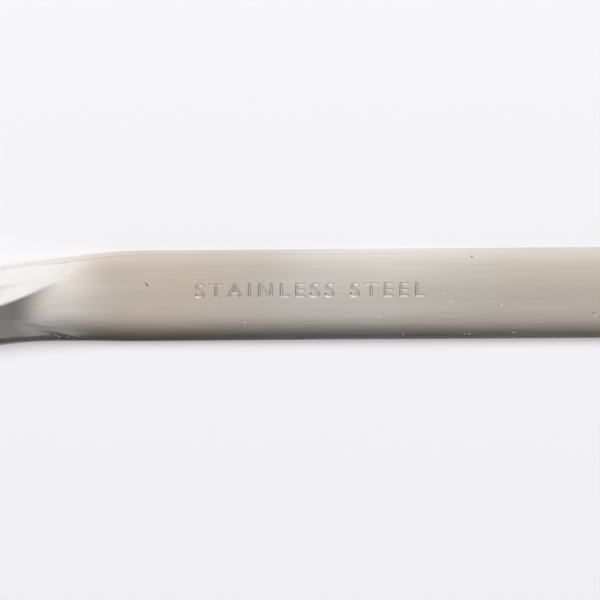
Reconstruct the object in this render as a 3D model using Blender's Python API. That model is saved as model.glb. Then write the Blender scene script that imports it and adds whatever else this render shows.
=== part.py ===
"""A dinner fork, lying face down: a flat handle with crowned edges, a ridged neck with a scooped flank
on each side, the root of the head, and four tines.

Units are metres. +X runs from the tine tips to the butt of the handle, +Z is up, and the front of the
handle lies on z = 0. The origin is under the middle of the fork. The fork is one blank of steel: its
pieces meet face to face on flat cuts across X.
"""

import math

import bmesh
import bpy

# Lengths along X, from the butt to the tips
HANDLE_LENGTH = 0.085
NECK_LENGTH = 0.040
ROOT_LENGTH = 0.029
TINE_LENGTH = 0.046
NARROWING_RUN = 0.0116
SHOULDER_RUN = 0.004

# Widths across Y
BUTT_WIDTH = 0.0124
HANDLE_WIDTH = 0.0120
NARROWING = 0.0008
NECK_WIDTH = 0.0084
TINE_COUNT = 4
TINE_WIDTH = 0.0040
TIP_WIDTH = 0.0020
SLOT_WIDTH = 0.0029
TIP_PITCH = 0.0061

# Heights and thicknesses along Z
HANDLE_THICKNESS = 0.0027
NECK_THICKNESS = 0.0034
TINE_THICKNESS = 0.0024
TIP_THICKNESS = 0.0012

# The neck bends up over a first run to its steepest slope, and arches over towards the slots
NECK_SLOPE = 0.36
RISE_RUN = 0.017

# The handle's crowned edges and soft corners
EDGE_BAND = 0.0030
EDGE_DROP = 0.0008
EDGE_POWER = 2.0
BUTT_CORNER = 0.0040
RIM = 0.0009
TINE_RIM = 0.0004
RIM_SHARE = 0.45

# The flat tongue that narrows into the ridge of the neck, and the scooped flanks beside it
FLARE_SETBACK = 0.0068
FLARE_LENGTH = 0.0150
FLARE_POWER = 1.9
RIDGE_HALF = 0.00025
RIDGE_SOFTNESS = 0.15
FLANK_FALL = 0.0007
FLANK_POWER = 3.5
FLANK_RUN = 0.011
UNDER_LIFT = 0.0004
UNDER_LENGTH = 0.020

# The head's crown across its width, and the stretch in which the ridge sinks into it
CROWN = 0.0008
RIDGE_FADE = 0.016

# The round ends of the tines
TIP_ROUND = 0.0016
TIP_EDGE = 0.4
TIP_FLAT = 0.00002

# Looks
STEEL_COLOUR = (0.68, 0.64, 0.60, 1.0)
SATIN_ROUGHNESS = 0.30
BRIGHT_ROUGHNESS = 0.20

# How finely the forms are divided
HANDLE_STEPS = 6
CORNER_STEPS = 6
NECK_STEPS = 22
ROOT_STEPS = 14
TINE_STEPS = 14
TIP_STEPS = 4
INNER_COLUMNS = 2
OUTER_COLUMNS = 4
RIM_STEPS = 2
CUTTER_SIDES = 24

# Stations along X, worked out from the lengths
LENGTH = HANDLE_LENGTH + NECK_LENGTH + ROOT_LENGTH + TINE_LENGTH
BUTT_X = LENGTH / 2
HANDLE_X = BUTT_X - HANDLE_LENGTH
NECK_X = HANDLE_X - NECK_LENGTH
SLOT_X = NECK_X - ROOT_LENGTH
TIP_X = SLOT_X - TINE_LENGTH
STEEP_X = HANDLE_X - RISE_RUN
FLARE_X = HANDLE_X - FLARE_SETBACK
RIDGE_X = FLARE_X - FLARE_LENGTH
SHOULDER_X = SLOT_X + SHOULDER_RUN

BELLY_HEIGHT = HANDLE_THICKNESS + 0.5 * NECK_SLOPE * (HANDLE_X - SLOT_X)
HEAD_WIDTH = TINE_COUNT * TINE_WIDTH + (TINE_COUNT - 1) * SLOT_WIDTH
ROOT_PITCH = TINE_WIDTH + SLOT_WIDTH


def ease(share):
    """A smooth step from 0 to 1 that is level at both ends."""
    share = min(max(share, 0.0), 1.0)
    return share * share * (3.0 - 2.0 * share)


def blend(start, end, share):
    return start + (end - start) * ease(share)


def half_width(x):
    """Half the width of the blank behind the slots."""
    if x >= HANDLE_X:
        return 0.5 * (HANDLE_WIDTH + (BUTT_WIDTH - HANDLE_WIDTH) * (x - HANDLE_X) / HANDLE_LENGTH)
    if x >= NECK_X:
        slow = blend(HANDLE_WIDTH, NECK_WIDTH + NARROWING, (HANDLE_X - x) / NECK_LENGTH)
        return 0.5 * (slow - NARROWING * ease((HANDLE_X - x) / NARROWING_RUN))
    return 0.5 * blend(NECK_WIDTH, HEAD_WIDTH, (NECK_X - x) / (NECK_X - SHOULDER_X))


def back_line(x):
    """Height of the back along the middle: level handle, rising neck, then tines that curve down."""
    if x >= STEEP_X:
        return HANDLE_THICKNESS + 0.5 * NECK_SLOPE * max(HANDLE_X - x, 0.0) ** 2 / RISE_RUN
    if x >= SLOT_X:
        return BELLY_HEIGHT - 0.5 * NECK_SLOPE * (x - SLOT_X) ** 2 / (STEEP_X - SLOT_X)
    share = (SLOT_X - x) / TINE_LENGTH
    return BELLY_HEIGHT - (BELLY_HEIGHT - TIP_THICKNESS) * share**2


def thickness(x):
    """Thickness of the blank along its middle."""
    if x >= NECK_X:
        return blend(NECK_THICKNESS, HANDLE_THICKNESS, (x - NECK_X) / NECK_LENGTH)
    if x >= SLOT_X:
        return blend(NECK_THICKNESS, TINE_THICKNESS, (NECK_X - x) / ROOT_LENGTH)
    return TINE_THICKNESS + (TIP_THICKNESS - TINE_THICKNESS) * (SLOT_X - x) / TINE_LENGTH


def crease(x):
    """Half-width of the tongue: as wide as the handle, then flaring down to the ridge of the neck."""
    share = min(max((x - RIDGE_X) / FLARE_LENGTH, 0.0), 1.0)
    return RIDGE_HALF + (half_width(x) - RIDGE_HALF) * share**FLARE_POWER


def edge_distance(x, y):
    """Distance in plan from a point to the outline, also round the soft corners of the butt."""
    along = x - (BUTT_X - BUTT_CORNER)
    aside = abs(y) - (half_width(x) - BUTT_CORNER)
    outside = math.hypot(max(along, 0.0), max(aside, 0.0))
    return BUTT_CORNER - outside - min(max(along, aside), 0.0)


def edge_drop(distance):
    """How far the crowned edge has dropped at a distance from the outline."""
    return EDGE_DROP * max(0.0, 1.0 - distance / EDGE_BAND) ** EDGE_POWER


def head_crown(x, y):
    """How far the head drops towards its sides, less and less towards the tips."""
    if x >= SLOT_X:
        return CROWN * (y / half_width(x)) ** 2
    level = (SLOT_X - x) / TINE_LENGTH
    return CROWN * (1.0 - level) * (2.0 * y / HEAD_WIDTH) ** 2


def back_drop(x, y):
    """How far the back of the handle, neck or root lies below its middle line."""
    side = abs(y)
    edge = crease(x)
    drop = edge_drop(edge_distance(x, side))
    if side > edge:
        part = (side - edge) / (half_width(x) - edge)
        scoop = 1.0 - (1.0 - part**2 / (part + RIDGE_SOFTNESS)) ** FLANK_POWER
        drop += FLANK_FALL * ease((FLARE_X - x) / FLANK_RUN) * scoop
    sunk = ease((NECK_X - x) / RIDGE_FADE)
    return drop * (1.0 - sunk) + head_crown(x, y) * sunk


def front_drop(x, y):
    """How far the front lies below its middle line: rounded up under the neck, hollow under the head."""
    lift = UNDER_LIFT * ease((HANDLE_X - x) / UNDER_LENGTH) * (y / half_width(x)) ** 2
    sunk = ease((NECK_X - x) / RIDGE_FADE)
    return head_crown(x, y) * sunk - lift * (1.0 - sunk)


def body_back(x, y):
    return back_line(x) - back_drop(x, y)


def body_front(x, y):
    return back_line(x) - thickness(x) - front_drop(x, y)


def tip_rounding(x):
    """1 along a tine, falling along a quarter ellipse to 0 at its very end."""
    from_end = min((x - TIP_X) / TIP_ROUND, 1.0)
    return math.sqrt(1.0 - (1.0 - from_end) ** 2)


def tine_front(x, y):
    return back_line(x) - thickness(x) - head_crown(x, y)


def tine_back(x, y):
    return tine_front(x, y) + thickness(x) * (TIP_EDGE + (1.0 - TIP_EDGE) * tip_rounding(x))


def tine_half(x):
    share = (SLOT_X - x) / TINE_LENGTH
    return 0.5 * (TINE_WIDTH + (TIP_WIDTH - TINE_WIDTH) * share**2) * tip_rounding(x)


def tine_middle(index, x):
    """Middle line of a tine in plan. The tines draw a little together towards their tips."""
    share = (SLOT_X - x) / TINE_LENGTH
    pitch = ROOT_PITCH + (TIP_PITCH - ROOT_PITCH) * share**2
    return (index - (TINE_COUNT - 1) / 2) * pitch


def rim(x):
    """Radius of the rounded edge: full along the handle and neck, finer on the head."""
    return blend(RIM, TINE_RIM, (NECK_X - x) / (NECK_X - SHOULDER_X))


def rounded_edge(y, reach, high, low):
    """Points round an edge, from below its back at y and high to above its front at y and low."""
    fall = min(abs(reach), RIM_SHARE * (high - low))
    quarter = [0.5 * math.pi * step / RIM_STEPS for step in range(RIM_STEPS + 1)]
    points = [(y + reach * math.sin(a), high - fall * (1.0 - math.cos(a))) for a in quarter[1:]]
    points += [(y + reach * math.cos(a), low + fall * (1.0 - math.sin(a))) for a in quarter[:-1]]
    return points


def ring(x, columns, back, front, reach):
    """Points round one cross-cut: over the back through columns of falling y, then under the front."""
    first, last = columns[0], columns[-1]
    points = [(y, back(x, y)) for y in columns]
    points += rounded_edge(last, -reach, back(x, last), front(x, last))
    points += [(y, front(x, y)) for y in reversed(columns)]
    points += reversed(rounded_edge(first, reach, back(x, first), front(x, first)))
    return [(x, y, z) for y, z in points]


def body_ring(x, half=None):
    """A cross-cut of the handle, neck or root, with a column along the edge of its flat."""
    half = half or half_width(x)
    edge = half - rim(x)
    flat = min(crease(x), max(half - EDGE_BAND, edge / 2))
    side = [flat * step / INNER_COLUMNS for step in range(1, INNER_COLUMNS + 1)]
    side += [flat + (edge - flat) * step / OUTER_COLUMNS for step in range(1, OUTER_COLUMNS + 1)]
    columns = side[::-1] + [0.0] + [-y for y in side]
    return ring(x, columns, body_back, body_front, rim(x))


def tine_ring(index, x):
    """A cross-cut of one tine."""
    middle = tine_middle(index, x)
    half = tine_half(x)
    reach = min(TINE_RIM, half / 2)
    columns = [middle + half - reach, middle, middle - half + reach]
    return ring(x, columns, tine_back, tine_front, reach)


def between(start, end, steps):
    return [start + (end - start) * step / steps for step in range(steps + 1)]


def steel(name, roughness):
    material = bpy.data.materials.new(name)
    material.use_nodes = True
    shader = material.node_tree.nodes["Principled BSDF"]
    shader.inputs["Base Color"].default_value = STEEL_COLOUR
    shader.inputs["Metallic"].default_value = 1.0
    shader.inputs["Roughness"].default_value = roughness
    return material


def loft(name, rings, material, fork):
    """A closed solid through a row of cross-cuts, with its origin on the first of them."""
    start = rings[0][0][0]
    form = bmesh.new()
    loops = [[form.verts.new((x - start, y, z)) for x, y, z in points] for points in rings]
    for first, second in zip(loops, loops[1:]):
        for corner in range(len(first)):
            form.faces.new((first[corner - 1], first[corner], second[corner], second[corner - 1]))
    form.faces.new(loops[0])
    form.faces.new(loops[-1])
    bmesh.ops.recalc_face_normals(form, faces=form.faces)
    mesh = bpy.data.meshes.new(name)
    form.to_mesh(mesh)
    form.free()
    mesh.materials.append(material)
    mesh.shade_smooth()
    mesh.set_sharp_from_angle(angle=math.radians(35))
    piece = bpy.data.objects.new(name, mesh)
    piece.location.x = start
    piece.parent = fork
    bpy.context.scene.collection.objects.link(piece)
    return piece


def make_handle(material, fork):
    straight_end = BUTT_X - BUTT_CORNER
    rings = [body_ring(x) for x in between(HANDLE_X, straight_end, HANDLE_STEPS)]
    for step in range(1, CORNER_STEPS + 1):
        turn = 0.5 * math.pi * step / CORNER_STEPS
        x = straight_end + BUTT_CORNER * math.sin(turn)
        rings.append(body_ring(x, half_width(x) - BUTT_CORNER * (1.0 - math.cos(turn))))
    return loft("handle", rings, material, fork)


def make_neck(material, fork):
    return loft("neck", [body_ring(x) for x in between(HANDLE_X, NECK_X, NECK_STEPS)], material, fork)


def slot_cutter(middle, fork):
    """An upright round bar that cuts the round end of one slot into the root."""
    form = bmesh.new()
    bmesh.ops.create_cone(
        form,
        cap_ends=True,
        segments=CUTTER_SIDES,
        radius1=SLOT_WIDTH / 2,
        radius2=SLOT_WIDTH / 2,
        depth=2.0 * BELLY_HEIGHT,
    )
    mesh = bpy.data.meshes.new("slot_cutter")
    form.to_mesh(mesh)
    form.free()
    cutter = bpy.data.objects.new("slot_cutter", mesh)
    cutter.location = (SLOT_X, middle, BELLY_HEIGHT)
    cutter.parent = fork
    cutter.hide_render = True
    cutter.display_type = "WIRE"
    bpy.context.scene.collection.objects.link(cutter)
    return cutter


def make_head_root(material, fork):
    root = loft("head_root", [body_ring(x) for x in between(NECK_X, SLOT_X, ROOT_STEPS)], material, fork)
    for index in range(TINE_COUNT - 1):
        cut = root.modifiers.new(f"slot_end_{index + 1}", "BOOLEAN")
        cut.operation = "DIFFERENCE"
        cut.solver = "EXACT"
        cut.object = slot_cutter((index - (TINE_COUNT - 2) / 2) * ROOT_PITCH, fork)
    return root


def make_tine(index, material, fork):
    round_start = TIP_X + TIP_ROUND
    stations = between(SLOT_X, round_start, TINE_STEPS)
    for step in range(1, TIP_STEPS + 1):
        turn = 0.5 * math.pi * step / (TIP_STEPS + 1)
        stations.append(round_start - TIP_ROUND * math.sin(turn))
    stations.append(TIP_X + TIP_FLAT)
    return loft(f"tine_{index + 1}", [tine_ring(index, x) for x in stations], material, fork)


def main():
    for old in list(bpy.data.objects):
        bpy.data.objects.remove(old, do_unlink=True)
    fork = bpy.data.objects.new("fork", None)
    bpy.context.scene.collection.objects.link(fork)
    satin = steel("satin_steel", SATIN_ROUGHNESS)
    bright = steel("bright_steel", BRIGHT_ROUGHNESS)
    make_handle(satin, fork)
    make_neck(bright, fork)
    make_head_root(bright, fork)
    for index in range(TINE_COUNT):
        make_tine(index, bright, fork)


main()
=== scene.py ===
"""The looks of a dinner fork that lies face down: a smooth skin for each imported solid, brushed steel,
and a plain studio seen from above the back of the handle.

Units are metres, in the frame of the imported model: +X from the tine tips to the butt, +Z up.
"""

import math

import bmesh
import bpy
from mathutils import Matrix, Vector


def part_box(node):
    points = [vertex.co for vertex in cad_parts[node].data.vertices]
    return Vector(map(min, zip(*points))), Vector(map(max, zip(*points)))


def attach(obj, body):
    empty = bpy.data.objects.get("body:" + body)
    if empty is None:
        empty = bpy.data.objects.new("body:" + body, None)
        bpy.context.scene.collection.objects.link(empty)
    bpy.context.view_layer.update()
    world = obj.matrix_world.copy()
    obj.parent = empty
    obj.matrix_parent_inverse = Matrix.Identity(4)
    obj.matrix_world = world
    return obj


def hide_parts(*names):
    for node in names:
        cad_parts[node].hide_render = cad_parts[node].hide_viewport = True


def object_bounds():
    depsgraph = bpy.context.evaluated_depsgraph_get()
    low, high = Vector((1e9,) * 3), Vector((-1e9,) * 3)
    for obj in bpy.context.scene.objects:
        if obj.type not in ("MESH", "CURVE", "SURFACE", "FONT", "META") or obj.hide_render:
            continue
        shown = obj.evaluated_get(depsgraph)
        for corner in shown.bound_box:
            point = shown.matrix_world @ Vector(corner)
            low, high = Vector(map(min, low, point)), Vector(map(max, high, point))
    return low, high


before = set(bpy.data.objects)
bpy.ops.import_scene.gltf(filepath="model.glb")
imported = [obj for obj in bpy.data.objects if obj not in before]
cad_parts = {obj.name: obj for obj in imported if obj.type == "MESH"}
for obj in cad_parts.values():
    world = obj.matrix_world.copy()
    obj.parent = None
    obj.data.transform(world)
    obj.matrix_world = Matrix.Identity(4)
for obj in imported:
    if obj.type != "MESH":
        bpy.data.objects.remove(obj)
CAD_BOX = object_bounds()

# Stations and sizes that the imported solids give
HANDLE_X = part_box("handle")[0].x
BUTT_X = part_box("handle")[1].x
HANDLE_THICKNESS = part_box("handle")[1].z
HANDLE_WIDTH = 2.0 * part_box("neck")[1].y
NECK_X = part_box("neck")[0].x
SLOT_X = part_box("head_root")[0].x
HEAD_WIDTH = 2.0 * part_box("head_root")[1].y
TIP_X = CAD_BOX[0].x

# Lengths along X
HANDLE_LENGTH = BUTT_X - HANDLE_X
NECK_LENGTH = HANDLE_X - NECK_X
ROOT_LENGTH = NECK_X - SLOT_X
TINE_LENGTH = SLOT_X - TIP_X
NARROWING_RUN = 0.0116
SHOULDER_RUN = 0.004

# Widths and thicknesses of the blank
BUTT_WIDTH = 0.0122
NARROWING = 0.0008
NECK_WIDTH = 0.0084
TINE_COUNT = 4
TINE_WIDTH = 0.0040
TIP_WIDTH = 0.0020
SLOT_WIDTH = 0.0029
TIP_PITCH = 0.0061
NECK_THICKNESS = 0.0034
TINE_THICKNESS = 0.0024
TIP_THICKNESS = 0.0012

# The handle's crowned edges and soft corners
EDGE_BAND = 0.0060
EDGE_DROP = 0.00095
EDGE_POWER = 3.5
BUTT_CORNER = 0.0040
RIM = 0.0009
NECK_RIM = 0.0015
TINE_RIM = 0.0004
UPPER_SHARE = 0.55
LOWER_SHARE = 0.43
BEVEL_SHARE = 0.8
BEVEL_START = math.radians(21)
BEVEL_END = math.radians(28)
SHARP_ANGLE = math.radians(40)

# The neck bends up over a first run to its steepest slope, and arches over towards the slots
NECK_SLOPE = 0.36
RISE_RUN = 0.017
STEEP_X = HANDLE_X - RISE_RUN
BELLY_HEIGHT = HANDLE_THICKNESS + 0.5 * NECK_SLOPE * (HANDLE_X - SLOT_X)

# The flat tongue that narrows into the ridge of the neck, and the scooped flanks beside it
FLARE_SETBACK = 0.0068
FLARE_LENGTH = 0.0150
FLARE_POWER = 1.9
RIDGE_HALF = 0.00025
RIDGE_SOFTNESS = 0.35
FLANK_FALL = 0.0006
FLANK_POWER = 3.5
FLANK_RUN = 0.009
FLANK_CROWN = 0.15
CROWN_SETBACK = 0.001
UNDER_LIFT = 0.0004
UNDER_LENGTH = 0.020
FLARE_X = HANDLE_X - FLARE_SETBACK
RIDGE_X = FLARE_X - FLARE_LENGTH

# The head's crown across its width, and the round ends of the tines
CROWN = 0.0008
RIDGE_FADE = 0.016
TIP_ROUND = 0.0016
TIP_EDGE = 0.4
ROOT_PITCH = TINE_WIDTH + SLOT_WIDTH

# A plain mark of the metal, sunk into the back of the handle
MARK = "STAINLESS STEEL"
MARK_SIZE = 0.00275
MARK_SPACING = 1.40
MARK_LIFT = 0.00003
MARK_PLACE = Vector((0.0359, 0.0013, HANDLE_THICKNESS + MARK_LIFT))
MARK_BEVEL = 0.00018
MARK_INSET = 0.00006
MARK_DEPTH = 0.00013
MARK_CURVE_STEPS = 3
MARK_SHARP = math.radians(22)
WELD = 0.000001
FLAT_WITHIN = math.radians(1)
SLIVER_PASSES = 3

# How finely the skin is divided
TINE_COLUMNS = 6
SLOT_COLUMNS = 6
FLANK_COLUMNS = 12
HANDLE_STEP = 0.0025
NECK_STEP = 0.0004
ROOT_STEP = 0.0006
TINE_STEP = 0.0008
CORNER_STEPS = 10
BEND_STEPS = 5
TIP_STEPS = 6
BEVEL_STEPS = 3
RIM_STEPS = 5


def ease(share):
    """A smooth step from 0 to 1 that is level at both ends."""
    share = min(max(share, 0.0), 1.0)
    return share * share * (3.0 - 2.0 * share)


def mix(start, end, share):
    """The value a share of the way from start to end."""
    return start + (end - start) * share


def half_width(x):
    """Half the width of the blank behind the slots."""
    if x >= HANDLE_X:
        return 0.5 * mix(HANDLE_WIDTH, BUTT_WIDTH, (x - HANDLE_X) / HANDLE_LENGTH)
    if x >= NECK_X:
        slow = mix(HANDLE_WIDTH, NECK_WIDTH + NARROWING, ease((HANDLE_X - x) / NECK_LENGTH))
        return 0.5 * (slow - NARROWING * ease((HANDLE_X - x) / NARROWING_RUN))
    return 0.5 * mix(NECK_WIDTH, HEAD_WIDTH, ease((NECK_X - x) / (ROOT_LENGTH - SHOULDER_RUN)))


def back_line(x):
    """Height of the back along the middle: level handle, rising neck, then tines that curve down."""
    if x >= STEEP_X:
        return HANDLE_THICKNESS + 0.5 * NECK_SLOPE * max(HANDLE_X - x, 0.0) ** 2 / RISE_RUN
    if x >= SLOT_X:
        return BELLY_HEIGHT - 0.5 * NECK_SLOPE * (x - SLOT_X) ** 2 / (STEEP_X - SLOT_X)
    return mix(BELLY_HEIGHT, TIP_THICKNESS, ((SLOT_X - x) / TINE_LENGTH) ** 2)


def thickness(x):
    """Thickness of the blank along its middle."""
    if x >= NECK_X:
        return mix(NECK_THICKNESS, HANDLE_THICKNESS, ease((x - NECK_X) / NECK_LENGTH))
    if x >= SLOT_X:
        return mix(NECK_THICKNESS, TINE_THICKNESS, ease((NECK_X - x) / ROOT_LENGTH))
    return mix(TINE_THICKNESS, TIP_THICKNESS, (SLOT_X - x) / TINE_LENGTH)


def crease(x):
    """Half-width of the tongue: as wide as the handle, then flaring down to the ridge of the neck."""
    share = min(max((x - RIDGE_X) / FLARE_LENGTH, 0.0), 1.0)
    return mix(RIDGE_HALF, half_width(x), share**FLARE_POWER)


def edge_distance(x, y):
    """Distance in plan from a point to the outline, also round the soft corners of the butt."""
    along = x - (BUTT_X - BUTT_CORNER)
    aside = abs(y) - (half_width(x) - BUTT_CORNER)
    outside = math.hypot(max(along, 0.0), max(aside, 0.0))
    return BUTT_CORNER - outside - min(max(along, aside), 0.0)


def flank_growth(x):
    """0 along the handle, growing to 1 where the flanks of the neck are fully scooped."""
    return ease((FLARE_X - x) / FLANK_RUN)


def edge_drop(x, distance):
    """How far the crowned edge has dropped at a distance from the outline. Flanks have less crown."""
    crown = EDGE_DROP * mix(1.0, FLANK_CROWN, flank_growth(x + CROWN_SETBACK))
    return crown * max(0.0, 1.0 - distance / EDGE_BAND) ** EDGE_POWER


def head_crown(x, y):
    """How far the head drops towards its sides, less and less towards the tips."""
    if x >= SLOT_X:
        return CROWN * (y / half_width(x)) ** 2
    level = (SLOT_X - x) / TINE_LENGTH
    return CROWN * (1.0 - level) * (2.0 * y / HEAD_WIDTH) ** 2


def back_drop(x, y):
    """How far the back of the handle, neck or root lies below its middle line."""
    side = abs(y)
    edge = crease(x)
    drop = edge_drop(x, edge_distance(x, side))
    if side > edge:
        part = (side - edge) / (half_width(x) - edge)
        scoop = 1.0 - (1.0 - part**2 / (part + RIDGE_SOFTNESS)) ** FLANK_POWER
        drop += FLANK_FALL * flank_growth(x) * scoop
    return mix(drop, head_crown(x, y), ease((NECK_X - x) / RIDGE_FADE))


def front_drop(x, y):
    """How far the front lies below its middle line: rounded up at the neck, hollow at the head."""
    lift = UNDER_LIFT * ease((HANDLE_X - x) / UNDER_LENGTH) * (y / half_width(x)) ** 2
    return mix(-lift, head_crown(x, y), ease((NECK_X - x) / RIDGE_FADE))


def tip_rounding(x):
    """1 along a tine, falling along a quarter ellipse to 0 at its very end."""
    from_end = min(max((x - TIP_X) / TIP_ROUND, 0.0), 1.0)
    return math.sqrt(1.0 - (1.0 - from_end) ** 2)


def front(x, y):
    """Height of the front, the face that the fork lies on."""
    drop = front_drop(x, y) if x >= SLOT_X else head_crown(x, y)
    return back_line(x) - thickness(x) - drop


def back(x, y):
    """Height of the back. A tine's back comes down to a thin edge at its tip."""
    if x >= SLOT_X:
        return back_line(x) - back_drop(x, y)
    return front(x, y) + thickness(x) * mix(TIP_EDGE, 1.0, tip_rounding(x))


def tine_half(x):
    """Half the width of a tine."""
    return 0.5 * mix(TINE_WIDTH, TIP_WIDTH, ((SLOT_X - x) / TINE_LENGTH) ** 2)


def tine_middle(index, x):
    """Middle line of a tine in plan. The tines draw a little together towards their tips."""
    pitch = mix(ROOT_PITCH, TIP_PITCH, max((SLOT_X - x) / TINE_LENGTH, 0.0) ** 2)
    return (index - (TINE_COUNT - 1) / 2) * pitch


def between(start, end, step):
    """Even stations from start to end, about a step apart."""
    count = max(1, round(abs(end - start) / step))
    return [mix(start, end, index / count) for index in range(count + 1)]


def head_columns():
    """(y, turn) of each column across the head. turn is the place on a slot's round end, or None."""
    reach = SLOT_WIDTH / 2 + TINE_RIM
    columns = []
    for index in range(TINE_COUNT):
        middle = tine_middle(index, SLOT_X)
        half = TINE_WIDTH / 2 - TINE_RIM
        columns += [(middle + half * (2 * k / TINE_COLUMNS - 1), None) for k in range(TINE_COLUMNS + 1)]
        if index < TINE_COUNT - 1:
            turns = [math.pi * (k / SLOT_COLUMNS - 0.5) for k in range(1, SLOT_COLUMNS)]
            columns += [(middle + ROOT_PITCH / 2 + reach * math.sin(turn), turn) for turn in turns]
    return columns


HEAD_COLUMNS = head_columns()
BEND_X = SLOT_X + SHOULDER_RUN


def rim(x):
    """Width of the bevelled edge in plan: wider beside the flanks of the neck, finer on the head."""
    wide = mix(RIM, NECK_RIM, flank_growth(x))
    return mix(wide, TINE_RIM, ease((NECK_X - x) / (NECK_X - BEND_X)))


def bevel_profile():
    """(out, fall) in rim widths along the upper edge: a bevel that steepens, then a tight turn."""
    first, last = math.tan(BEVEL_START), math.tan(BEVEL_END)
    outs = [BEVEL_SHARE * step / BEVEL_STEPS for step in range(1, BEVEL_STEPS + 1)]
    profile = [(out, first * out + 0.5 * (last - first) * out**2 / BEVEL_SHARE) for out in outs]
    radius = (1.0 - BEVEL_SHARE) / (1.0 - math.sin(BEVEL_END))
    edge_out, edge_fall = profile[-1]
    for step in range(1, RIM_STEPS + 1):
        turn = mix(BEVEL_END, 0.5 * math.pi, step / RIM_STEPS)
        out = edge_out + radius * (math.sin(turn) - math.sin(BEVEL_END))
        profile.append((out, edge_fall + radius * (math.cos(BEVEL_END) - math.cos(turn))))
    return profile


def blank_columns(edge, flat):
    """y of each column across the handle or neck: even steps in the flat and in each side band."""
    last = len(HEAD_COLUMNS) - 1
    inner = last - 2 * FLANK_COLUMNS
    side = [mix(-edge, -flat, k / FLANK_COLUMNS) for k in range(FLANK_COLUMNS)]
    middle = [mix(-flat, flat, k / inner) for k in range(inner + 1)]
    return side + middle + [-y for y in reversed(side)]


def body_row(x, half=None):
    """Plan points of one row across the handle, neck or root."""
    half = half or half_width(x)
    edge = half - rim(x)
    flat = min(crease(x), edge / 2)
    share = ease((NECK_X - x) / (NECK_X - BEND_X))
    scale = edge / (HEAD_WIDTH / 2 - TINE_RIM)
    blank = blank_columns(edge, flat)
    return [(x, mix(y, scale * wide, share)) for y, (wide, _) in zip(blank, HEAD_COLUMNS)]


def bend_row(share):
    """Plan points of a row that bends round the slots' ends as share goes from 0 to 1."""
    reach = SLOT_WIDTH / 2 + TINE_RIM
    row = []
    for y, turn in HEAD_COLUMNS:
        end = SLOT_X if turn is None else SLOT_X + reach * math.cos(turn)
        row.append((mix(BEND_X, end, share), y))
    return row


def tine_rows(index):
    """Plan points of the rows along one tine, without the one on its root."""
    round_x = TIP_X + TIP_ROUND
    stations = [(x, 1.0) for x in between(SLOT_X, round_x, TINE_STEP)[1:]]
    for step in range(1, TIP_STEPS + 1):
        turn = 0.5 * math.pi * step / (TIP_STEPS + 0.5)
        stations.append((round_x - (TIP_ROUND - TINE_RIM) * math.sin(turn), math.cos(turn)))
    rows = []
    for x, narrow in stations:
        half = (tine_half(x) - TINE_RIM) * narrow
        middle = tine_middle(index, x)
        rows.append([(x, middle + half * (2 * k / TINE_COLUMNS - 1)) for k in range(TINE_COLUMNS + 1)])
    return rows


class Sheet:
    """The fork in plan: points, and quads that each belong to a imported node."""

    def __init__(self):
        self.points = []
        self.quads = []

    def row(self, places):
        """Add a row of points, and give their numbers."""
        first = len(self.points)
        self.points += places
        return list(range(first, len(self.points)))

    def strip(self, one, two, node):
        """Add the quads between two rows."""
        for k in range(len(one) - 1):
            self.quads.append(((one[k], one[k + 1], two[k + 1], two[k]), node))

    def strips(self, rows, node):
        """Add the quads between each row and the next."""
        for one, two in zip(rows, rows[1:]):
            self.strip(one, two, node)

    def outline(self):
        """The border as one loop of (from, to, node), with the sheet on one side all along."""
        edges = {}
        for quad, node in self.quads:
            for k in range(4):
                edges[quad[k], quad[(k + 1) % 4]] = node
        border = {a: (b, node) for (a, b), node in edges.items() if (b, a) not in edges}
        start = here = next(iter(border))
        loop = []
        while not loop or here != start:
            after, node = border[here]
            loop.append((here, after, node))
            here = after
        return loop


def fork_sheet():
    """The plan of the whole fork, from the butt to the tips."""
    sheet = Sheet()
    straight = BUTT_X - BUTT_CORNER
    corner = BUTT_CORNER - RIM
    rows = []
    for step in range(CORNER_STEPS, 0, -1):
        turn = 0.5 * math.pi * step / CORNER_STEPS
        x = straight + corner * math.sin(turn)
        rows.append(sheet.row(body_row(x, half_width(x) - corner * (1.0 - math.cos(turn)))))
    rows += [sheet.row(body_row(x)) for x in between(straight, HANDLE_X, HANDLE_STEP)]
    sheet.strips(rows, "handle")
    rows = rows[-1:] + [sheet.row(body_row(x)) for x in between(HANDLE_X, NECK_X, NECK_STEP)[1:]]
    sheet.strips(rows, "neck")
    rows = rows[-1:] + [sheet.row(body_row(x)) for x in between(NECK_X, BEND_X, ROOT_STEP)[1:]]
    rows += [sheet.row(bend_row(step / BEND_STEPS)) for step in range(1, BEND_STEPS + 1)]
    sheet.strips(rows, "head_root")
    for index in range(TINE_COUNT):
        first = index * (TINE_COLUMNS + SLOT_COLUMNS)
        root = rows[-1][first : first + TINE_COLUMNS + 1]
        sheet.strips([root] + [sheet.row(row) for row in tine_rows(index)], f"tine_{index + 1}")
    return sheet


def outward(sheet, loop):
    """The plan direction out of the sheet at each point of its outline."""
    found = {}
    for (before, here, _), (_, after, _) in zip(loop, loop[1:] + loop[:1]):
        start = Vector(sheet.points[before])
        run = Vector(sheet.points[after]) - start
        found[here] = Vector((run.y, -run.x)).normalized()
    return found


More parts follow.
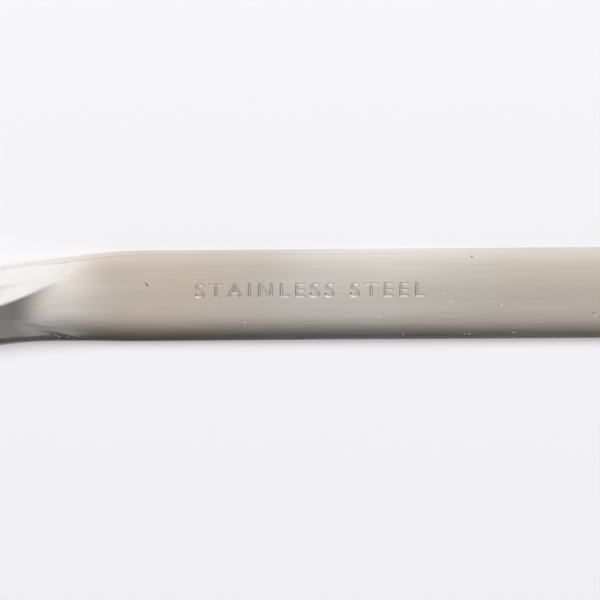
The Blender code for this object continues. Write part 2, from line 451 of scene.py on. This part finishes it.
def skin_faces():
    """All points of the skin, and its faces by node: the back, the front and a rounded rim between."""
    sheet = fork_sheet()
    count = len(sheet.points)
    places = [(x, y, back(x, y)) for x, y in sheet.points]
    places += [(x, y, front(x, y)) for x, y in sheet.points]
    faces = {}
    for quad, node in sheet.quads:
        faces.setdefault(node, []).append(quad)
        faces[node].append(tuple(count + k for k in reversed(quad)))
    loop = sheet.outline()
    upper = bevel_profile()
    lower = [0.5 * math.pi * step / RIM_STEPS for step in range(RIM_STEPS)]
    rings = {}
    for here, way in outward(sheet, loop).items():
        x, y = sheet.points[here]
        high, low = back(x, y), front(x, y)
        reach = rim(x)
        squeeze = min(reach, UPPER_SHARE * (high - low) / upper[-1][1])
        lift = min(reach, LOWER_SHARE * (high - low))
        turns = [(out, high - squeeze * fall) for out, fall in upper]
        turns += [(math.cos(turn), low + lift * (1.0 - math.sin(turn))) for turn in lower]
        ring = [here]
        for out, z in turns:
            ring.append(len(places))
            places.append((x + way.x * reach * out, y + way.y * reach * out, z))
        rings[here] = ring + [count + here]
    for one, two, node in loop:
        for k in range(len(rings[one]) - 1):
            faces[node].append((rings[two][k], rings[one][k], rings[one][k + 1], rings[two][k + 1]))
    return places, faces


def mark_cutter():
    """The solid that sinks the plain steel mark: bevelled capitals, widest just above the back."""
    curve = bpy.data.curves.new("mark", "FONT")
    curve.body = MARK
    curve.size = MARK_SIZE
    curve.space_character = MARK_SPACING
    curve.align_x = "CENTER"
    curve.align_y = "CENTER"
    curve.bevel_depth = MARK_BEVEL
    curve.bevel_resolution = 0
    curve.offset = -MARK_INSET
    curve.resolution_u = MARK_CURVE_STEPS
    letters = bpy.data.objects.new("mark", curve)
    bpy.context.scene.collection.objects.link(letters)
    graph = bpy.context.evaluated_depsgraph_get()
    mesh = bpy.data.meshes.new_from_object(letters.evaluated_get(graph))
    bpy.data.objects.remove(letters)
    flatten = Matrix.Diagonal((1.0, 1.0, MARK_DEPTH / MARK_BEVEL, 1.0))
    form = bmesh.new()
    form.from_mesh(mesh)
    bmesh.ops.remove_doubles(form, verts=form.verts, dist=WELD)
    for _ in range(SLIVER_PASSES):
        bmesh.ops.dissolve_degenerate(form, dist=WELD, edges=form.edges)
    bmesh.ops.dissolve_limit(form, angle_limit=FLAT_WITHIN, verts=form.verts, edges=form.edges)
    bmesh.ops.recalc_face_normals(form, faces=form.faces)
    form.transform(Matrix.Translation(MARK_PLACE) @ flatten)
    form.to_mesh(mesh)
    form.free()
    cutter = bpy.data.objects.new("mark_cutter", mesh)
    bpy.context.scene.collection.objects.link(cutter)
    return cutter


def sink_mark(piece):
    """Cut the mark into the back of the handle."""
    cutter = mark_cutter()
    cut = piece.modifiers.new("mark", "BOOLEAN")
    cut.operation = "DIFFERENCE"
    cut.solver = "EXACT"
    cut.object = cutter
    graph = bpy.context.evaluated_depsgraph_get()
    cut_mesh = bpy.data.meshes.new_from_object(piece.evaluated_get(graph))
    piece.modifiers.clear()
    piece.data = cut_mesh
    bpy.data.objects.remove(cutter)
    cut_mesh.shade_smooth()
    cut_mesh.set_sharp_from_angle(angle=MARK_SHARP)


def make_piece(name, places, faces):
    """A closed mesh object of some faces of the skin, with its flat cuts filled."""
    form = bmesh.new()
    corners = {}
    for face in faces:
        for k in face:
            if k not in corners:
                corners[k] = form.verts.new(places[k])
    for face in faces:
        form.faces.new([corners[k] for k in face])
    cut = [edge for edge in form.edges if edge.is_boundary]
    bmesh.ops.holes_fill(form, edges=cut, sides=0)
    bmesh.ops.recalc_face_normals(form, faces=form.faces)
    mesh = bpy.data.meshes.new(name)
    form.to_mesh(mesh)
    form.free()
    mesh.shade_smooth()
    mesh.set_sharp_from_angle(angle=SHARP_ANGLE)
    piece = bpy.data.objects.new(name, mesh)
    bpy.context.scene.collection.objects.link(piece)
    return piece


def node(tree, kind, values=None, **settings):
    """A new node. Each value is set on its input, or linked to it where it is another node's output."""
    made = tree.nodes.new(kind)
    for name, setting in settings.items():
        setattr(made, name, setting)
    for name, value in (values or {}).items():
        if isinstance(value, bpy.types.NodeSocket):
            tree.links.new(value, made.inputs[name])
        else:
            made.inputs[name].default_value = value
    return made


def calc(tree, operation, *values):
    """The result of a math node on one, two or three values."""
    return node(tree, "ShaderNodeMath", dict(enumerate(values)), operation=operation).outputs[0]


def rescale(tree, value, start, end, low=0.0, high=1.0, smooth=False):
    """A value between start and end, moved to lie between low and high."""
    values = {"Value": value, "From Min": start, "From Max": end, "To Min": low, "To Max": high}
    kind = "SMOOTHSTEP" if smooth else "LINEAR"
    return node(tree, "ShaderNodeMapRange", values, interpolation_type=kind).outputs["Result"]


def blended(tree, share, one, two, kind="MIX"):
    """A colour that goes from one to two, or to their product, as share goes from 0 to 1."""
    values = {0: share, 6: one, 7: two}
    return node(tree, "ShaderNodeMix", values, data_type="RGBA", blend_type=kind).outputs[2]


def ramp(tree, value, stops):
    """A colour that runs through (place, colour) stops along a value."""
    start, end = stops[0][0], stops[-1][0]
    made = node(tree, "ShaderNodeValToRGB", {"Fac": rescale(tree, value, start, end)})
    elements = made.color_ramp.elements
    elements.remove(elements[0])
    for index, (place, colour) in enumerate(stops):
        share = (place - start) / (end - start)
        stop = elements.new(share) if index else elements[0]
        stop.position = share
        stop.color = (*colour, 1.0)
    return made.outputs["Color"]


def stretched_noise(tree, length, width, detail):
    """Noise in streaks of about this length along X and this width across it."""
    place = node(tree, "ShaderNodeTexCoord").outputs["Object"]
    scale = (1.0 / length, 1.0 / width, 1.0 / width)
    sized = node(tree, "ShaderNodeMapping", {"Vector": place, "Scale": scale}).outputs[0]
    streaks = {"Vector": sized, "Scale": 1.0, "Detail": detail}
    return node(tree, "ShaderNodeTexNoise", streaks).outputs["Fac"]


# The steel's satin grain: (length, width, detail) of its streaks, and what they do
COARSE_GRAIN = (0.018, 0.0005, 2.0)
FINE_GRAIN = (0.006, 0.00014, 3.0)
GRAIN_LIMITS = (0.7, 1.3)
GRAIN_SHADES = (0.975, 1.02)
GRAIN_STRETCH = 0.8
RELIEF = 0.000008
SCRATCHES = (0.012, 0.00012, 1.0)
SCRATCH_LIMITS = (0.66, 0.74)
SCRATCH_SHADE = 0.05
SATIN_ROUGHNESS = 0.24
BRIGHT_ROUGHNESS = 0.17
ROUGHNESS_LIMITS = (0.3, 0.7)
ROUGHNESS_DRIFT = 0.02

# Painted sheen on the upright walls of the neck and head: how much brighter their base colour is made,
# where this fades along X, how upright they are
WALL_SHEEN = 1.16
WALL_FADE = (0.016, 0.008)
WALL_RISE = (0.75, 0.45)

# The steel's tones along X, in patches: warm near the neck, greyer in mid-handle, then beige, with a
# lighter stop near x 0.046 that is a painted highlight. The near and far bands across Y carry painted
# light and shade.
PATCHES = (0.020, 0.005, 2.0)
PATCH_LIMITS = (0.25, 0.75)
PATCH_DRIFT = 0.006
NEAR_BAND = (0.000, 0.0045)
FAR_BAND = (-0.0015, -0.0045)
# Own tones of the steel, plus a painted highlight: the lighter stop near x 0.046
STEEL_TONES_AND_HIGHLIGHT = (
    (-0.030, (0.760, 0.730, 0.695)),
    (0.007, (0.770, 0.730, 0.690)),
    (0.014, (0.765, 0.683, 0.620)),
    (0.022, (0.770, 0.690, 0.620)),
    (0.030, (0.740, 0.695, 0.650)),
    (0.037, (0.752, 0.731, 0.703)),
    (0.046, (0.795, 0.769, 0.744)),
    (0.054, (0.740, 0.706, 0.664)),
    (0.064, (0.715, 0.672, 0.618)),
    (0.100, (0.705, 0.658, 0.602)),
)
# Painted light and shade on the near side: the band towards +Y made darker or lighter along X, as its
# reflection falls
NEAR_SIDE_PAINTED_LIGHT = (
    (0.004, (1.00, 1.00, 1.00)),
    (0.010, (1.03, 1.03, 1.03)),
    (0.014, (0.97, 0.97, 0.97)),
    (0.026, (0.95, 0.95, 0.95)),
    (0.035, (1.05, 1.05, 1.05)),
    (0.046, (1.08, 1.07, 1.06)),
    (0.054, (1.08, 1.08, 1.07)),
    (0.062, (1.07, 1.07, 1.06)),
    (0.075, (1.06, 1.06, 1.05)),
)
# Painted light on the far side: the far edge band made lighter towards the butt, a painted reflection
FAR_SIDE_PAINTED_LIGHT = (
    (0.045, (1.00, 1.00, 1.00)),
    (0.055, (1.07, 1.07, 1.07)),
    (0.064, (1.20, 1.19, 1.19)),
    (0.075, (1.24, 1.23, 1.23)),
)

# Wear and painted glints: (x, y, half length, half width, turn in degrees, shade) of each nick, and of
# each far-edge dent. A shade below 1 is a dark wear mark; a shade above 1 paints a glint.
NICKS_AND_GLINTS = (
    (0.0159, 0.0023, 0.00032, 0.00010, -55, 0.35),
    (0.0558, 0.0055, 0.00016, 0.00012, 0, 0.50),
    (0.0279, -0.0030, 0.00016, 0.00010, 10, 1.45),
    (0.0444, -0.0023, 0.00012, 0.00010, 0, 1.35),
    (0.0525, 0.0008, 0.00014, 0.00009, 30, 1.35),
    (0.0532, -0.0004, 0.00018, 0.00008, 20, 1.30),
    (0.0595, -0.0008, 0.00014, 0.00011, 0, 1.45),
    (0.0711, -0.0023, 0.00016, 0.00011, -20, 1.45),
    (0.0709, -0.0020, 0.00018, 0.00010, -40, 0.55),
)
EDGE_DENTS = (
    (0.0046, -0.0042, 0.00007, 0.00016, 35, 1.00),
    (0.0050, -0.0045, 0.00015, 0.00006, -15, 1.00),
    (0.0060, -0.0046, 0.00009, 0.00007, 0, 0.80),
    (0.0073, -0.0047, 0.00017, 0.00005, 0, 0.75),
    (0.0474, -0.0050, 0.00010, 0.00007, 0, 1.00),
    (0.0550, -0.0049, 0.00009, 0.00007, -5, 1.10),
    (0.0556, -0.0050, 0.00016, 0.00006, -5, 1.00),
    (0.0611, -0.0048, 0.00020, 0.00006, -5, 1.00),
)
DENT_ROUGHNESS = 0.65
NICK_EDGE = (1.3, 0.6)


def with_nicks_and_glints(tree, place, colour, nicks):
    """The colour with each of these small nicks shaded into it, where a shade above 1 paints a glint,
    and 1 where they lie.
    """
    found = 0.0
    for x, y, length, width, turn, shade in nicks:
        spot = {"Vector": place, "Location": (x, y, 0.0), "Rotation": (0.0, 0.0, math.radians(turn))}
        spot["Scale"] = (length, width, 1.0)
        near = node(tree, "ShaderNodeMapping", spot, vector_type="TEXTURE").outputs[0]
        far = node(tree, "ShaderNodeVectorMath", {0: near}, operation="LENGTH").outputs["Value"]
        share = rescale(tree, far, *NICK_EDGE, smooth=True)
        colour = blended(tree, share, colour, (shade, shade, shade, 1.0), "MULTIPLY")
        found = calc(tree, "MAXIMUM", found, share)
    return colour, found


def painted_wall_sheen(tree, along):
    """1 on the upright walls of the neck and head, whose base colour is made brighter as a painted
    sheen, and 0 elsewhere.
    """
    normal = node(tree, "ShaderNodeNewGeometry").outputs["Normal"]
    up = node(tree, "ShaderNodeSeparateXYZ", {"Vector": normal}).outputs["Z"]
    upright = rescale(tree, up, *WALL_RISE, smooth=True)
    return calc(tree, "MULTIPLY", upright, rescale(tree, along, *WALL_FADE, smooth=True))


def steel_material():
    """Brushed steel with drifting tones, fine scratches, nicks and dents, and painted light: a painted
    highlight band, painted light and shade on the near and far sides, a painted sheen on the walls and
    painted glints on bright nicks.
    """
    material = bpy.data.materials.new("satin_steel_skin")
    material.use_nodes = True
    tree = material.node_tree
    shader = tree.nodes["Principled BSDF"]
    place = node(tree, "ShaderNodeTexCoord").outputs["Object"]
    axes = node(tree, "ShaderNodeSeparateXYZ", {"Vector": place}).outputs
    along = axes["X"]
    drift = rescale(tree, stretched_noise(tree, *PATCHES), *PATCH_LIMITS, -PATCH_DRIFT, PATCH_DRIFT)
    wavy = calc(tree, "ADD", along, drift)
    # Painted light and shade: the near and far side bands get their own brightness along X
    near = rescale(tree, axes["Y"], *NEAR_BAND, smooth=True)
    tone_and_painted_light = blended(tree, near, ramp(tree, wavy, STEEL_TONES_AND_HIGHLIGHT), ramp(tree, wavy, NEAR_SIDE_PAINTED_LIGHT), "MULTIPLY")
    far = rescale(tree, axes["Y"], *FAR_BAND, smooth=True)
    tone_and_painted_light = blended(tree, far, tone_and_painted_light, ramp(tree, wavy, FAR_SIDE_PAINTED_LIGHT), "MULTIPLY")
    # Painted sheen: the base colour of the upright walls near the neck is made brighter
    sheen = (WALL_SHEEN, WALL_SHEEN, WALL_SHEEN, 1.0)
    tone_and_painted_light = blended(tree, painted_wall_sheen(tree, along), tone_and_painted_light, sheen, "MULTIPLY")
    coarse = stretched_noise(tree, *COARSE_GRAIN)
    fine = stretched_noise(tree, *FINE_GRAIN)
    shade = rescale(tree, calc(tree, "ADD", coarse, fine), *GRAIN_LIMITS, *GRAIN_SHADES)
    scratches = rescale(tree, stretched_noise(tree, *SCRATCHES), *SCRATCH_LIMITS, 0.0, SCRATCH_SHADE)
    shade = calc(tree, "ADD", shade, scratches)
    # Nicks: dark wear marks, and painted glints where their shade is above 1
    worn_and_painted_light, _ = with_nicks_and_glints(tree, place, blended(tree, 1.0, tone_and_painted_light, shade, "MULTIPLY"), NICKS_AND_GLINTS)
    worn_and_painted_light, dents = with_nicks_and_glints(tree, place, worn_and_painted_light, EDGE_DENTS)
    tree.links.new(worn_and_painted_light, shader.inputs["Base Color"])
    shader.inputs["Metallic"].default_value = 1.0
    polish = rescale(tree, along, RIDGE_X, HANDLE_X, BRIGHT_ROUGHNESS, SATIN_ROUGHNESS, True)
    uneven = rescale(tree, fine, *ROUGHNESS_LIMITS, -ROUGHNESS_DRIFT, ROUGHNESS_DRIFT)
    rough = calc(tree, "ADD", polish, uneven)
    rough = calc(tree, "MAXIMUM", rough, calc(tree, "MULTIPLY", dents, DENT_ROUGHNESS))
    tree.links.new(rough, shader.inputs["Roughness"])
    shader.inputs["Anisotropic"].default_value = GRAIN_STRETCH
    relief = {"Height": coarse, "Distance": RELIEF, "Strength": 1.0}
    tree.links.new(node(tree, "ShaderNodeBump", relief).outputs[0], shader.inputs["Normal"])
    tangent = node(tree, "ShaderNodeTangent", direction_type="UV_MAP", uv_map="grain").outputs[0]
    tree.links.new(tangent, shader.inputs["Tangent"])
    return material


def add_grain(piece):
    """A UV map whose first axis lies across the grain, which runs along X."""
    layer = piece.data.uv_layers.new(name="grain")
    for loop in piece.data.loops:
        x, y, z = piece.data.vertices[loop.vertex_index].co
        layer.data[loop.index].uv = (y - z, x)


def make_fork():
    """The seven skins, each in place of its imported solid."""
    places, faces = skin_faces()
    steel = steel_material()
    for name, own in faces.items():
        piece = make_piece(name + "_skin", places, own)
        if name == "handle":
            sink_mark(piece)
        piece.data.materials.append(steel)
        add_grain(piece)
        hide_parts(name)
        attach(piece, "root")


# The photograph's view
VIEW_TILT = math.radians(26.0)
VIEW_ROLL = math.radians(0.384)
VIEW_WIDTH = 0.0738
VIEW_LENS = 300.0
SENSOR = 36.0
CLIP_START = 0.01
AIM = Vector((0.0347, 0.00007, HANDLE_THICKNESS))


def make_camera():
    """A camera above the back, tilted towards +Y, with +Y up in the picture."""
    data = bpy.data.cameras.new("camera")
    data.lens = VIEW_LENS
    data.sensor_width = SENSOR
    data.clip_start = CLIP_START
    camera = bpy.data.objects.new("camera", data)
    distance = VIEW_WIDTH * VIEW_LENS / SENSOR
    turn = Matrix.Rotation(-VIEW_TILT, 4, "X") @ Matrix.Rotation(-VIEW_ROLL, 4, "Z")
    camera.matrix_world = Matrix.Translation(AIM + turn.to_3x3() @ Vector((0.0, 0.0, distance))) @ turn
    bpy.context.scene.collection.objects.link(camera)
    bpy.context.scene.camera = camera


# The pale studio: its floor, whose colour is a painted falloff, lighter on the near side and darker on
# the far side, and which glows in mirrors but less behind the neck, a painted shadow there; its sky and
# its lamp
FLOOR_HALF = 3.0
FLOOR_COLOUR = (0.92, 0.92, 0.94, 1.0)
FLOOR_FADE = 0.045
FAR_PAINTED_SHADE = 0.960
NEAR_PAINTED_LIGHT = 1.043
FLOOR_GLOW = 0.1
MIRRORED_GLOW = 0.9
# Painted shadow: behind the neck, on the far side, the mirrored floor's glow falls to this share,
# between the limits along X and Y below
SHADOWED_GLOW = 0.22
BOUNCED_GLOW = 0.88
SHADOW_X = (0.040, 0.012)
SHADOW_Y = (0.0, -0.015)
GLOW_COLOUR = (0.98, 0.98, 1.0, 1.0)
SKY_COLOUR = (1.0, 1.0, 1.0, 1.0)
SKY_LEVEL = 0.330
BACKDROP_LEVEL = 0.88
LAMP_ANGLE = math.radians(28)
LAMP_STRENGTH = 3.15
LAMP_WAY = Vector((0.65, 0.53, 0.69))

# What the steel mirrors: tones along Y from the far horizon over the top to the near one, and along X
REFLECTION_LEVEL = 1.63
TONES_ACROSS = (
    (-1.00, (0.020, 0.018, 0.018)),
    (-0.90, (0.035, 0.032, 0.031)),
    (-0.77, (0.120, 0.115, 0.112)),
    (-0.62, (0.275, 0.270, 0.266)),
    (-0.50, (0.515, 0.515, 0.515)),
    (-0.43, (0.690, 0.690, 0.690)),
    (-0.34, (0.590, 0.590, 0.590)),
    (-0.05, (0.590, 0.590, 0.594)),
    (0.24, (0.650, 0.657, 0.667)),
    (0.45, (0.760, 0.765, 0.775)),
    (0.68, (0.720, 0.725, 0.735)),
    (0.84, (0.690, 0.693, 0.700)),
    (1.00, (0.660, 0.662, 0.667)),
)
TONES_ALONG = (
    (-1.00, (0.28, 0.270, 0.260)),
    (-0.70, (0.36, 0.350, 0.340)),
    (-0.50, (0.58, 0.565, 0.545)),
    (-0.34, (0.92, 0.895, 0.865)),
    (-0.22, (0.62, 0.595, 0.560)),
    (-0.12, (0.80, 0.765, 0.720)),
    (-0.01, (0.80, 0.765, 0.720)),
    (0.035, (0.74, 0.71, 0.67)),
    (0.060, (0.73, 0.70, 0.66)),
    (0.12, (0.80, 0.775, 0.745)),
    (0.22, (0.97, 0.95, 0.93)),
    (0.30, (1.06, 1.04, 1.02)),
    (0.38, (1.13, 1.11, 1.09)),
    (0.50, (0.98, 0.96, 0.94)),
    (0.62, (0.66, 0.645, 0.63)),
    (0.80, (0.44, 0.43, 0.42)),
    (1.00, (0.34, 0.33, 0.32)),
)
LOW_TONES = (
    (-0.10, (0.80, 0.775, 0.745)),
    (0.02, (0.80, 0.775, 0.745)),
    (0.18, (0.655, 0.635, 0.61)),
    (0.30, (0.62, 0.60, 0.58)),
    (0.42, (0.54, 0.525, 0.51)),
)
LOW_LIMITS = (-0.425, -0.50)

# Areas of the mirrored studio: the colour of each, and the limits between which it begins or ends
WINDOW = (0.74, 0.76, 0.785, 1.0)
WINDOW_SLANT = 2.2
WINDOW_LIMITS = (0.60, 0.82)
WINDOW_START = (0.05, 0.12)
WINDOW_END = (0.68, 0.56)
DARK_CORNER = (0.035, 0.035, 0.036, 1.0)
DARK_SLANT = 0.35
DARK_LIMITS = (0.238, 0.323)
DARK_ACROSS = (-0.12, -0.30)
GREY_CORNER = (0.155, 0.155, 0.157, 1.0)
GREY_SLANT = 1.1
GREY_LIMITS = (0.93, 1.05)
GREY_END = (-0.93, -0.87)
PALE_STRIP = (0.29, 0.29, 0.292, 1.0)
STRIP_ALONG = (0.125, 0.175)
STRIP_END = (0.31, 0.25)
STRIP_ACROSS = (-0.80, -0.85)
STRIP_LOW = (-0.935, -0.895)


def zone(tree, *limits):
    """1 where each value has passed its second limit, and 0 where any is still before its first."""
    shares = [rescale(tree, value, start, end, smooth=True) for value, start, end in limits]
    inside = shares[0]
    for share in shares[1:]:
        inside = calc(tree, "MULTIPLY", inside, share)
    return inside


def make_floor():
    """A pale floor. Part of its paleness is a glow that only the camera and mirrors see. Its colour is
    a painted falloff, lighter on the near side and darker on the far side, and its mirrored glow is
    dimmed behind the neck as a painted shadow.
    """
    mesh = bpy.data.meshes.new("floor")
    corners = [(-FLOOR_HALF, -FLOOR_HALF, 0), (FLOOR_HALF, -FLOOR_HALF, 0)]
    corners += [(FLOOR_HALF, FLOOR_HALF, 0), (-FLOOR_HALF, FLOOR_HALF, 0)]
    mesh.from_pydata(corners, [], [(0, 1, 2, 3)])
    floor = bpy.data.objects.new("floor", mesh)
    material = bpy.data.materials.new("pale_floor")
    material.use_nodes = True
    tree = material.node_tree
    tree.nodes.clear()
    paths = node(tree, "ShaderNodeLightPath").outputs
    mirrored = calc(tree, "MAXIMUM", paths["Is Glossy Ray"], paths["Is Transmission Ray"])
    place = node(tree, "ShaderNodeTexCoord").outputs["Object"]
    axes = node(tree, "ShaderNodeSeparateXYZ", {"Vector": place}).outputs
    # Painted falloff: the floor's colour darker towards the far side and lighter towards the near side
    shade = rescale(tree, axes["Y"], -FLOOR_FADE, FLOOR_FADE, FAR_PAINTED_SHADE, NEAR_PAINTED_LIGHT)
    colour = blended(tree, 1.0, FLOOR_COLOUR, shade, "MULTIPLY")
    matt = node(tree, "ShaderNodeBsdfDiffuse", {"Color": colour})
    # Painted shadow: the glow that mirrors see is dimmed on the far side behind the neck
    painted_shadow = zone(tree, (axes["X"], *SHADOW_X), (axes["Y"], *SHADOW_Y), (mirrored, 0.0, 1.0))
    glow = node(tree, "ShaderNodeEmission", {"Color": GLOW_COLOUR})
    bounced = calc(tree, "GREATER_THAN", paths["Diffuse Depth"], 0.5)
    dimmed = rescale(tree, bounced, 0.0, 1.0, 1.0, BOUNCED_GLOW)
    strength = calc(tree, "MULTIPLY", rescale(tree, painted_shadow, 0.0, 1.0, 1.0, SHADOWED_GLOW), dimmed)
    tree.links.new(strength, glow.inputs["Strength"])
    direct = calc(tree, "MULTIPLY", paths["Is Camera Ray"], FLOOR_GLOW)
    share = calc(tree, "MULTIPLY_ADD", mirrored, MIRRORED_GLOW, direct)
    both = node(tree, "ShaderNodeMixShader", {"Fac": share, 1: matt.outputs[0], 2: glow.outputs[0]})
    node(tree, "ShaderNodeOutputMaterial", {"Surface": both.outputs[0]})
    mesh.materials.append(material)
    bpy.context.scene.collection.objects.link(floor)


def mirrored_studio(tree):
    """The colour that the steel mirrors in each direction."""
    way = node(tree, "ShaderNodeTexCoord").outputs["Generated"]
    axes = node(tree, "ShaderNodeSeparateXYZ", {"Vector": way}).outputs
    along, across = axes["X"], axes["Y"]
    low = rescale(tree, across, *LOW_LIMITS, smooth=True)
    warmth = blended(tree, low, ramp(tree, along, TONES_ALONG), ramp(tree, along, LOW_TONES))
    seen = blended(tree, 1.0, ramp(tree, across, TONES_ACROSS), warmth, "MULTIPLY")
    rising = calc(tree, "MULTIPLY_ADD", along, WINDOW_SLANT, across)
    window = zone(tree, (rising, *WINDOW_LIMITS), (along, *WINDOW_START), (along, *WINDOW_END))
    seen = blended(tree, window, seen, WINDOW)
    slanted = calc(tree, "MULTIPLY_ADD", across, DARK_SLANT, along)
    dark = zone(tree, (slanted, *DARK_LIMITS), (across, *DARK_ACROSS))
    seen = blended(tree, dark, seen, DARK_CORNER)
    falling = calc(tree, "MULTIPLY_ADD", along, GREY_SLANT, calc(tree, "MULTIPLY", across, -1.0))
    grey = zone(tree, (falling, *GREY_LIMITS), (across, *GREY_END))
    seen = blended(tree, grey, seen, GREY_CORNER)
    ends = (along, *STRIP_ALONG), (along, *STRIP_END)
    strip = zone(tree, *ends, (across, *STRIP_ACROSS), (across, *STRIP_LOW))
    return blended(tree, strip, seen, PALE_STRIP)


def make_world():
    """An even pale sky. The steel mirrors a studio: dark behind, warm above and bright in front."""
    world = bpy.data.worlds.new("studio")
    bpy.context.scene.world = world
    world.use_nodes = True
    tree = world.node_tree
    tree.nodes.clear()
    paths = node(tree, "ShaderNodeLightPath").outputs
    seen = mirrored_studio(tree)
    mirror = node(tree, "ShaderNodeBackground", {"Color": seen, "Strength": REFLECTION_LEVEL})
    level = rescale(tree, paths["Is Camera Ray"], 0.0, 1.0, SKY_LEVEL, BACKDROP_LEVEL)
    sky = node(tree, "ShaderNodeBackground", {"Strength": level, "Color": SKY_COLOUR})
    straight = calc(tree, "LESS_THAN", paths["Diffuse Depth"], 0.5)
    glossy = calc(tree, "MULTIPLY", paths["Is Glossy Ray"], straight)
    both = node(tree, "ShaderNodeMixShader", {"Fac": glossy, 1: sky.outputs[0], 2: mirror.outputs[0]})
    node(tree, "ShaderNodeOutputWorld", {"Surface": both.outputs[0]})


def make_lamp():
    """A soft, distant lamp, high over the butt and the near side, that the steel doesn't mirror."""
    data = bpy.data.lights.new("soft_lamp", "SUN")
    data.angle = LAMP_ANGLE
    data.energy = LAMP_STRENGTH
    lamp = bpy.data.objects.new("soft_lamp", data)
    lamp.location = LAMP_WAY
    lamp.rotation_mode = "QUATERNION"
    lamp.rotation_quaternion = LAMP_WAY.to_track_quat("Z", "Y")
    lamp.visible_glossy = False
    bpy.context.scene.collection.objects.link(lamp)


make_fork()
make_camera()
make_floor()
make_world()
make_lamp()
bpy.context.scene.view_settings.view_transform = "Standard"
